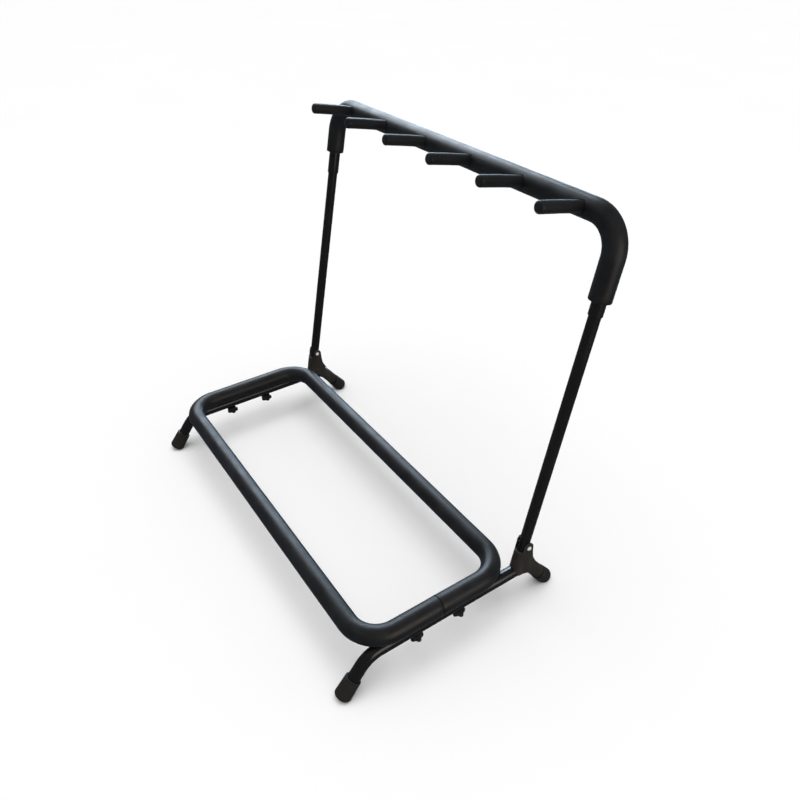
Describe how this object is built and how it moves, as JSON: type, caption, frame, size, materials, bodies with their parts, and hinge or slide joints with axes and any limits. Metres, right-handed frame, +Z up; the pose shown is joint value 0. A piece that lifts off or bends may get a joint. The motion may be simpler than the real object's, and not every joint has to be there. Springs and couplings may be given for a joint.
{
  "type": "guitar rack",
  "caption": "folding floor rack for guitars: a foam-covered base loop on bent side rails, uprights that pivot down, and a lift-off neck frame with foam pegs",
  "frame": {"origin": "middle of the footprint, on the floor plane through the flats of the feet", "axes": "+X along the neck bar to the right seen from the front, +Y from the front bar to the rear, +Z up"},
  "size_m": [0.785, 0.501, 0.7107],
  "materials": {
    "foam": "matte closed-cell foam",
    "enamel": "gloss black enamel",
    "nylon": "matte moulded black",
    "rubber": "satin black rubber",
    "knob_plastic": "satin black",
    "zinc": "bright zinc plate",
    "bare_steel": "plain drawn steel"
  },
  "bodies": {
    "base": {"base_loop_tube": "enamel", "base_loop_spigot": "bare_steel", "base_loop_foam": "foam", "side_rail_left": "enamel", "front_foot_left": "rubber", "rear_foot_left": "rubber", "pivot_housing_left": "nylon", "hinge_pin_left": "zinc", "clamp_washer_front_left": "zinc", "clamp_insert_front_left": "zinc", "clamp_washer_rear_left": "zinc", "clamp_insert_rear_left": "zinc", "side_rail_right": "enamel", "front_foot_right": "rubber", "rear_foot_right": "rubber", "pivot_housing_right": "nylon", "hinge_pin_right": "zinc", "clamp_washer_front_right": "zinc", "clamp_insert_front_right": "zinc", "clamp_washer_rear_right": "zinc", "clamp_insert_rear_right": "zinc"},
    "uprights": {"upright_left": "enamel", "upright_top_plug_left": "nylon", "upright_bottom_plug_left": "nylon", "upright_right": "enamel", "upright_top_plug_right": "nylon", "upright_bottom_plug_right": "nylon"},
    "neck_frame": {"neck_frame_tube": "enamel", "neck_foam": "foam", "neck_stop_pin_left": "zinc", "neck_stop_pin_right": "zinc", "peg_core_1": "bare_steel", "peg_sleeve_1": "foam", "peg_core_2": "bare_steel", "peg_sleeve_2": "foam", "peg_core_3": "bare_steel", "peg_sleeve_3": "foam", "peg_core_4": "bare_steel", "peg_sleeve_4": "foam", "peg_core_5": "bare_steel", "peg_sleeve_5": "foam", "peg_core_6": "bare_steel", "peg_sleeve_6": "foam"},
    "clamp_front_left": {"clamp_knob_front_left": "knob_plastic", "clamp_stud_front_left": "zinc"},
    "clamp_rear_left": {"clamp_knob_rear_left": "knob_plastic", "clamp_stud_rear_left": "zinc"},
    "clamp_front_right": {"clamp_knob_front_right": "knob_plastic", "clamp_stud_front_right": "zinc"},
    "clamp_rear_right": {"clamp_knob_rear_right": "knob_plastic", "clamp_stud_rear_right": "zinc"}
  },
  "joints": [
    {"name": "fold", "type": "hinge", "parent": "base", "child": "uprights", "pos_m": [0, 0.12687, 0.1285], "axis": [1, 0, 0], "range_deg": [0, 101]},
    {"name": "neck_frame_lift", "type": "slide", "parent": "uprights", "child": "neck_frame", "axis": [0, 0.1857, 0.9826], "range_m": [0, 0.07]},
    {"name": "clamp_front_left_turn", "type": "hinge", "parent": "base", "child": "clamp_front_left", "pos_m": [-0.375, -0.09853, 0.0512], "axis": [0, 0, 1], "continuous": true},
    {"name": "clamp_rear_left_turn", "type": "hinge", "parent": "base", "child": "clamp_rear_left", "pos_m": [-0.375, -0.01153, 0.0512], "axis": [0, 0, 1], "continuous": true},
    {"name": "clamp_front_right_turn", "type": "hinge", "parent": "base", "child": "clamp_front_right", "pos_m": [0.375, -0.09853, 0.0512], "axis": [0, 0, 1], "continuous": true},
    {"name": "clamp_rear_right_turn", "type": "hinge", "parent": "base", "child": "clamp_rear_right", "pos_m": [0.375, -0.01153, 0.0512], "axis": [0, 0, 1], "continuous": true}
  ]
}
